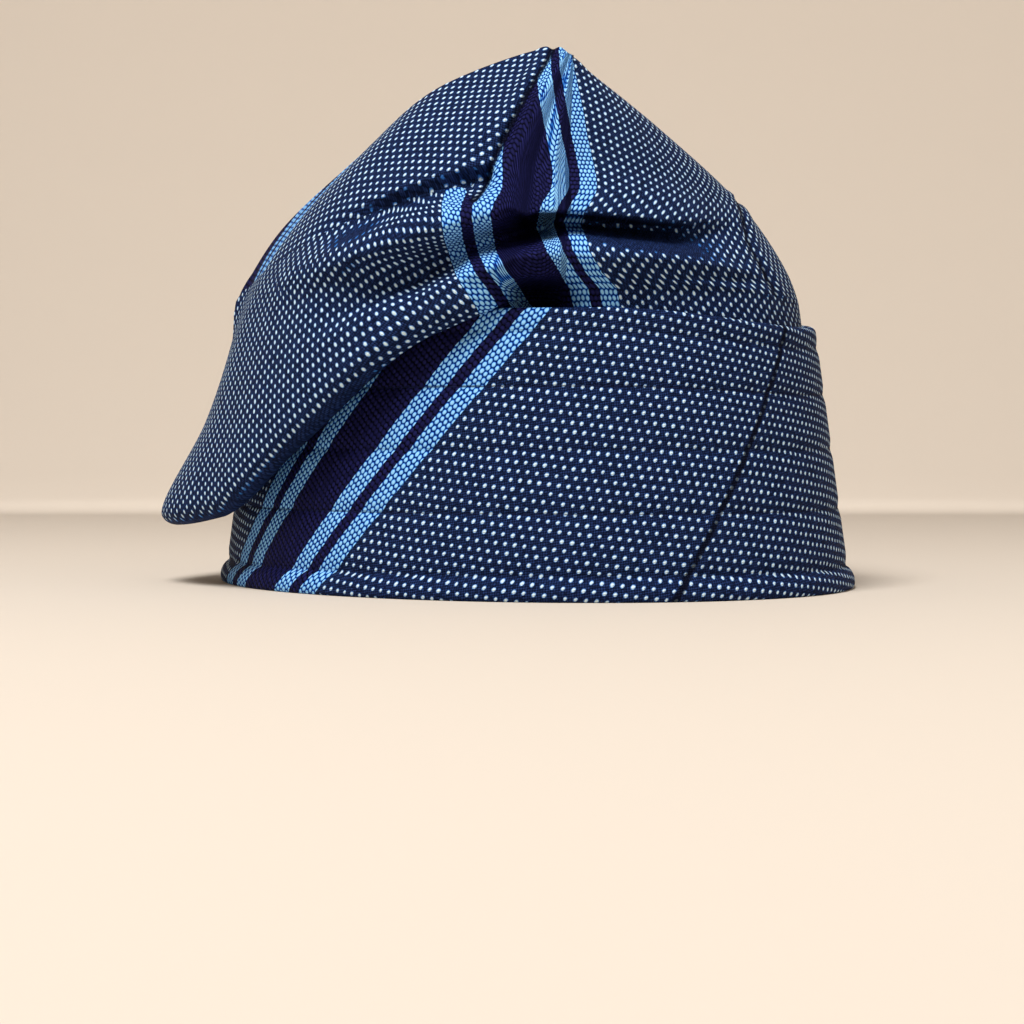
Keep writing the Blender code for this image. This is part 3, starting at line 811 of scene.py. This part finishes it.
def turn_to_cap(points):
    """Points of the crown, which is laid out as the photograph sees it, turned into the cap's axes."""
    x = points[..., 0] * math.cos(FACE_TURN) - points[..., 1] * math.sin(FACE_TURN)
    y = points[..., 0] * math.sin(FACE_TURN) + points[..., 1] * math.cos(FACE_TURN)
    return np.stack([x, y, points[..., 2]], axis=-1)


def make_crown():
    """The folded bag of cloth, closed along the ridge, with its cloth coordinates."""
    columns = 2 * CROWN_HALF_COLUMNS
    u = np.arange(columns) / CROWN_HALF_COLUMNS
    v = crown_rows()
    plain = smooth_lines(crown_controls(u), PROFILE_KNOTS, v)
    points = fold_cloth(plain, v)
    across, along = crown_weave(points, u, v)
    panel, seam = crown_seams(plain, u, v, along)
    points = draw_in(points, seam, u, v)
    panel_across, panel_along = panel_weave(points)
    wall_stretch = stretch(points, across, along)
    panel_stretch = stretch(points, panel_across, panel_along)
    tucked = ramp(np.where(panel < 0, panel_stretch, wall_stretch), *TUCKED_FROM)

    # The inner skin has only some of the outer one's rows and columns, and the hem joins the two.
    inner_rows = list(range(0, len(v) - 1, INNER_STEP)) + [len(v) - 1]
    inner_columns = columns // INNER_STEP

    def thinned(grid):
        return grid[inner_rows][:, ::INNER_STEP]

    def both(values):
        return np.concatenate([on_skin(values), on_skin(thinned(values))])

    inner = thinned(points + inward(points) * CLOTH)
    inner_start = len(on_skin(points))
    faces = skin_faces(len(v), columns, 0, False)
    faces += skin_faces(len(inner_rows), inner_columns, inner_start, True)
    for step in range(inner_columns):
        hem = [(step * INNER_STEP + more) % columns for more in range(INNER_STEP + 1)]
        after = (step + 1) % inner_columns
        faces.append(hem + [inner_start + after, inner_start + step])
    skins = turn_to_cap(np.concatenate([on_skin(points), on_skin(inner)]))
    item = new_mesh("crown_cloth", skins, faces)
    add_weave(item, "weave", both(across), both(along))
    add_weave(item, "weave_panel", both(panel_across), both(panel_along))
    add_value(item, "panel", both(panel))
    add_value(item, "seam", both(seam))
    add_value(item, "tucked", both(tucked))
    add_value(item, "stitch", np.full(len(skins), FAR))
    add_value(item, "run", both(across))
    return item


def linear(red, green, blue):
    """A colour picked as on a screen, 0 to 255, as the shader needs it."""
    return tuple(
        (c / 255 / 12.92) if c <= 10 else ((c / 255 + 0.055) / 1.055) ** 2.4 for c in (red, green, blue)
    ) + (1.0,)


class Cloth:
    """Builds one cloth material from small pieces of node arithmetic."""

    def __init__(self, name):
        self.material = bpy.data.materials.new(name)
        self.material.use_nodes = True
        self.nodes = self.material.node_tree.nodes
        self.links = self.material.node_tree.links
        self.shader = self.nodes["Principled BSDF"]

    def feed(self, socket, value):
        """Links a node's output to the socket, or sets a plain number or colour on it."""
        if hasattr(value, "node"):
            self.links.new(value, socket)
        else:
            socket.default_value = value

    def sum(self, operation, *values):
        """A math node's result."""
        node = self.nodes.new("ShaderNodeMath")
        node.operation = operation
        for socket, value in zip(node.inputs, values):
            self.feed(socket, value)
        return node.outputs[0]

    def attribute(self, name, output="Fac"):
        node = self.nodes.new("ShaderNodeAttribute")
        node.attribute_name = name
        return node.outputs[output]

    def split(self, vector):
        node = self.nodes.new("ShaderNodeSeparateXYZ")
        self.feed(node.inputs[0], vector)
        return node.outputs[0], node.outputs[1]

    def rise(self, value, low, high):
        """0 below low, 1 above high, smooth between."""
        node = self.nodes.new("ShaderNodeMapRange")
        node.interpolation_type = "SMOOTHSTEP"
        self.feed(node.inputs["Value"], value)
        node.inputs["From Min"].default_value = low
        node.inputs["From Max"].default_value = high
        return node.outputs["Result"]

    def blend(self, factor, first, second):
        """Numbers: first where factor is 0, second where it is 1."""
        node = self.nodes.new("ShaderNodeMix")
        node.data_type = "FLOAT"
        self.feed(node.inputs["Factor"], factor)
        self.feed(node.inputs["A"], first)
        self.feed(node.inputs["B"], second)
        return node.outputs["Result"]

    def tint(self, factor, first, second):
        """Colours: first where factor is 0, second where it is 1."""
        node = self.nodes.new("ShaderNodeMix")
        node.data_type = "RGBA"
        self.feed(node.inputs[0], factor)
        self.feed(node.inputs[6], first)
        self.feed(node.inputs[7], second)
        return node.outputs[2]

    def yarn(self, factor, name):
        """A yarn's colour, from its hollows with painted shade where factor is 0 to its top with painted
        light where it is 1.
        """
        low, high = SHADED_YARNS[name]
        return self.tint(factor, linear(*low), linear(*high))

    def random(self, across, along):
        """A random number for each cell of a grid of ones."""
        node = self.nodes.new("ShaderNodeCombineXYZ")
        self.feed(node.inputs[0], across)
        self.feed(node.inputs[1], along)
        noise = self.nodes.new("ShaderNodeTexWhiteNoise")
        noise.noise_dimensions = "2D"
        self.links.new(node.outputs[0], noise.inputs["Vector"])
        return noise.outputs["Value"]

    def floats(self, across, along, pitch_across, pitch_along, wide, long, uneven):
        """Yarn floats in staggered rows: (dome height 0 to 1, a random number for each float)."""
        domes = []
        for shift in (0.0, 0.5):
            column = self.sum("MULTIPLY_ADD", across, 1 / pitch_across, shift)
            row = self.sum("MULTIPLY_ADD", along, 1 / pitch_along, shift)
            chance = self.random(
                self.sum("ADD", self.sum("FLOOR", column), 50.5 * shift), self.sum("FLOOR", row)
            )
            off_column = self.sum("SUBTRACT", self.sum("FRACT", column), 0.5)
            off_row = self.sum("SUBTRACT", self.sum("FRACT", row), 0.5)
            far_column = self.sum("MULTIPLY", off_column, pitch_across / (wide / 2))
            far_row = self.sum("MULTIPLY", off_row, pitch_along / (long / 2))
            row_reach = self.sum("MULTIPLY", far_row, far_row)
            reach = self.sum("MULTIPLY_ADD", far_column, far_column, row_reach)
            size = self.sum("MULTIPLY_ADD", chance, uneven, 1 - uneven / 2)
            domes.append((self.sum("SUBTRACT", 1.0, self.sum("MULTIPLY", reach, size)), chance))
        higher = self.sum("GREATER_THAN", domes[1][0], domes[0][0])
        return (
            self.sum("MAXIMUM", self.sum("MAXIMUM", domes[0][0], domes[1][0]), 0.0),
            self.blend(higher, domes[0][1], domes[1][1]),
        )


def cloth_material(name, dot_across, dot_along, cell_along):
    """The woven cloth: pale dots on navy, and a set of light blue stripes with navy between them."""
    cloth = Cloth(name)
    on_panel = cloth.sum("LESS_THAN", cloth.attribute("panel"), 0.0)
    wall_across, wall_along = cloth.split(cloth.attribute("weave", "Vector"))
    panel_across, panel_along = cloth.split(cloth.attribute("weave_panel", "Vector"))
    across = cloth.blend(on_panel, wall_across, panel_across)
    along = cloth.blend(on_panel, wall_along, panel_along)

    wander = cloth.nodes.new("ShaderNodeTexNoise")
    wander.inputs["Scale"].default_value = WANDER_SCALE
    wander.inputs["Detail"].default_value = 2.0
    place = cloth.nodes.new("ShaderNodeTexCoord")
    cloth.links.new(place.outputs["Object"], wander.inputs["Vector"])
    wander_x, wander_y = cloth.split(wander.outputs["Color"])
    across = cloth.sum("ADD", across, cloth.sum("MULTIPLY_ADD", wander_x, YARN_WANDER, -YARN_WANDER / 2))
    along = cloth.sum("ADD", along, cloth.sum("MULTIPLY_ADD", wander_y, YARN_WANDER, -YARN_WANDER / 2))

    # Masks: 1 on the whole stripe set, and 1 on its four light stripes.
    from_middle = cloth.sum("ABSOLUTE", across)
    in_set = cloth.sum("LESS_THAN", from_middle, SET_HALF)
    light = 0.0
    for start in (WIDE_HALF, SET_HALF - LIGHT):
        stripe = cloth.sum("MULTIPLY", cloth.sum("GREATER_THAN", from_middle, start),
                           cloth.sum("LESS_THAN", from_middle, start + LIGHT))
        light = cloth.sum("ADD", light, stripe)
    in_dots = cloth.sum("SUBTRACT", 1.0, in_set)
    in_navy = cloth.sum("SUBTRACT", in_set, light)

    # Yarn floats: dots, the light stripes' cells, the navy stripes' ribs, and the ground between dots.
    cell_across = LIGHT / 4
    in_stripe = cloth.sum("SUBTRACT", from_middle, WIDE_HALF)
    dot, _ = cloth.floats(across, along, dot_across, dot_along, *DOT_SIZE, 0.4)
    dot = cloth.sum("MULTIPLY", dot, cloth.sum("SUBTRACT", 1.0, cloth.attribute("tucked")))
    cell, _ = cloth.floats(
        in_stripe, along, cell_across, cell_along, cell_across * 0.98, cell_along * 0.54, 0.3,
    )
    rib, rib_chance = cloth.floats(
        across, along, cell_across, cell_along, cell_across * 1.15, cell_along * 0.5, 0.4,
    )
    ground_across = dot_across / 5
    ground_along = dot_along / 3
    ground, ground_chance = cloth.floats(
        across, along, ground_across, ground_along, ground_across, ground_along, 0.6,
    )

    # Seams and stitches, at distances in millimetres.
    seam = cloth.sum("ABSOLUTE", cloth.attribute("seam"))
    stitch = cloth.attribute("stitch")
    groove = cloth.sum("SUBTRACT", 1.0, cloth.rise(seam, 0.3, 1.1))
    stitch_line = cloth.sum("SUBTRACT", 1.0, cloth.rise(stitch, 0.1, 0.55))
    on_stitch = cloth.sum("FRACT", cloth.sum("MULTIPLY", cloth.attribute("run"), 1 / STITCH_PITCH))
    thread_on = cloth.sum("MULTIPLY", cloth.rise(on_stitch, *THREAD_IN),
                          cloth.sum("SUBTRACT", 1.0, cloth.rise(on_stitch, *THREAD_OUT)))
    on_line = cloth.sum("SUBTRACT", 1.0, cloth.rise(stitch, 0.12, 0.3))

    shapes = {
        "dot": cloth.sum("MULTIPLY", cloth.sum("POWER", dot, 0.5), in_dots),
        "cell": cloth.sum("MULTIPLY", cloth.sum("POWER", cell, 0.5), light),
        "rib": cloth.sum("MULTIPLY", cloth.sum("POWER", rib, 0.6), in_navy),
        "ground": cloth.sum("MULTIPLY", cloth.sum("POWER", ground, 1.1), in_dots),
        "groove": groove,
        "stitch": stitch_line,
        "thread": cloth.sum("MULTIPLY", thread_on, on_line),
    }
    height = 0.0
    for part, shape in shapes.items():
        height = cloth.sum("MULTIPLY_ADD", shape, BUMPS[part], height)
    bump = cloth.nodes.new("ShaderNodeBump")
    bump.inputs["Strength"].default_value = 1.0
    bump.inputs["Distance"].default_value = MM
    cloth.links.new(height, bump.inputs["Height"])

    # Colours. Each yarn is darkened with painted shade in its hollows and lightened with painted light
    # on its top.
    ground_light = cloth.sum("MULTIPLY_ADD", ground_chance, 0.9, 0.25)
    ground_colour = cloth.yarn(cloth.sum("MULTIPLY", shapes["ground"], ground_light), "ground")
    dot_colour = cloth.yarn(cloth.rise(dot, 0.2, 0.85), "dot")
    dotted = cloth.tint(cloth.rise(dot, 0.0, 0.2), ground_colour, dot_colour)
    rib_light = cloth.sum("MULTIPLY_ADD", rib_chance, 0.5, 0.5)
    navy_colour = cloth.yarn(cloth.sum("MULTIPLY", shapes["rib"], rib_light), "navy")
    cell_colour = cloth.yarn(cloth.rise(cell, 0.0, 0.35), "cell")
    # Painted highlight on the crest of each cell.
    cell_colour = cloth.tint(cloth.rise(cell, 0.25, 0.8), cell_colour, linear(*CELL_HIGHLIGHT))
    colour = cloth.tint(in_set, dotted, navy_colour)
    colour = cloth.tint(light, colour, cell_colour)
    # Painted shade darkens the seams' grooves and the stitch rows.
    painted_shade = cloth.sum(
        "MAXIMUM", cloth.sum("MULTIPLY", groove, 0.9), cloth.sum("MULTIPLY", stitch_line, 0.6),
    )
    colour = cloth.tint(painted_shade, colour, linear(*SEAM_PAINTED_SHADE))
    colour = cloth.tint(cloth.sum("MULTIPLY", shapes["thread"], 0.7), colour, linear(*THREAD))

    cloth.links.new(colour, cloth.shader.inputs["Base Color"])
    cloth.links.new(bump.outputs["Normal"], cloth.shader.inputs["Normal"])
    cloth.shader.inputs["Roughness"].default_value = 0.62
    cloth.shader.inputs["Specular IOR Level"].default_value = 0.03
    return cloth.material


def plain_material(name, colour, roughness):
    material = bpy.data.materials.new(name)
    material.use_nodes = True
    shader = material.node_tree.nodes["Principled BSDF"]
    shader.inputs["Base Color"].default_value = colour
    shader.inputs["Roughness"].default_value = roughness
    shader.inputs["Specular IOR Level"].default_value = 0.1
    return material


FLOOR_FLAT = 1.1
FLOOR_BEND = 0.9
WALL_HEIGHT = 1.8


def make_floor():
    """A pale floor that curves up into a round wall well away from the cap."""
    outline = [(0.0, 0.0), (FLOOR_FLAT / 2, 0.0), (FLOOR_FLAT, 0.0)]
    for turn in range(10, 91, 10):
        angle = math.radians(turn)
        outline.append((
            FLOOR_FLAT + FLOOR_BEND * math.sin(angle), FLOOR_BEND * (1 - math.cos(angle)),
        ))
    outline.append((FLOOR_FLAT + FLOOR_BEND, WALL_HEIGHT))
    count = 64
    points = []
    faces = []
    for radius, height in outline:
        for step in range(count):
            angle = 2 * math.pi * step / count
            points.append((radius * math.cos(angle), radius * math.sin(angle), height))
    for row in range(len(outline) - 1):
        for step in range(count):
            after = (step + 1) % count
            faces.append((
                row * count + step, row * count + after,
                (row + 1) * count + after, (row + 1) * count + step,
            ))
    mesh = bpy.data.meshes.new("floor")
    mesh.from_pydata(points, [], faces)
    mesh.shade_smooth()
    floor = bpy.data.objects.new("floor", mesh)
    bpy.context.scene.collection.objects.link(floor)
    floor.data.materials.append(plain_material("floor_paint", linear(216, 204, 190), 0.9))


# Soft lights round the middle of the cap. aim 0 looks at it, and 180 looks away from it, at the wall.
LIGHT_MIDDLE = 70 * MM
LIGHT_FIELDS = ("name", "azimuth", "elevation", "distance", "size", "watts", "aim")
LIGHTS = (
    ("key", -58, 60, 1.45, 0.6, 24, 0),
    ("fill", 25, 28, 1.5, 1.2, 1.6, 0),
    ("wall", 147, 45, 0.9, 1.0, 7.5, 180),
)


def add_light(name, azimuth, elevation, distance, size, watts, aim):
    """A soft square light round the cap."""
    data = bpy.data.lights.new(name, "AREA")
    data.shape = "SQUARE"
    data.size = size
    data.energy = watts
    light = bpy.data.objects.new(name, data)
    a = math.radians(azimuth)
    e = math.radians(elevation)
    away = (math.sin(a) * math.cos(e), -math.cos(a) * math.cos(e), math.sin(e))
    light.location = [distance * part for part in away]
    light.location[2] += LIGHT_MIDDLE
    light.rotation_mode = "XYZ"
    light.rotation_euler = (math.pi / 2 - e if aim == 0 else math.pi / 2, 0, a + math.radians(aim))
    bpy.context.scene.collection.objects.link(light)


def add_camera():
    """The photograph's view, from the wearer's front right and a little above the rim."""
    distance = 720 * MM
    eye = 40.5 * MM
    # In pixels of a frame 1024 wide: the lens, and where the cap's axis and the eye's height show.
    frame_width = 1024
    lens = 2513
    axis_column = 530
    eye_row = 440
    right = (math.cos(FACE_TURN), math.sin(FACE_TURN))
    look = (-math.sin(FACE_TURN), math.cos(FACE_TURN))
    aside = (axis_column - frame_width / 2) * distance / lens
    data = bpy.data.cameras.new("camera")
    data.sensor_width = 36
    data.lens = lens / frame_width * data.sensor_width
    camera = bpy.data.objects.new("camera", data)
    camera.location = (
        -right[0] * aside - look[0] * distance - MIDDLE_X,
        -right[1] * aside - look[1] * distance - MIDDLE_Y,
        eye,
    )
    tilt = math.atan((frame_width / 2 - eye_row) / lens)
    camera.rotation_euler = (math.pi / 2 - tilt, 0, FACE_TURN)
    bpy.context.scene.collection.objects.link(camera)
    bpy.context.scene.camera = camera


band = make_band()
band.data.materials.append(cloth_material("band_weave", *BAND_PITCHES))
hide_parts("band")
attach(band, "root")

crown = make_crown()
crown.data.materials.append(cloth_material("crown_weave", *CROWN_PITCHES))
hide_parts("crown")
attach(crown, "root")

make_floor()
for row in LIGHTS:
    add_light(**dict(zip(LIGHT_FIELDS, row)))
add_camera()

world = bpy.data.worlds.new("studio")
world.use_nodes = True
world.node_tree.nodes["Background"].inputs["Color"].default_value = linear(250, 244, 236)
world.node_tree.nodes["Background"].inputs["Strength"].default_value = 0.30
bpy.context.scene.world = world
bpy.context.scene.view_settings.view_transform = "Standard"
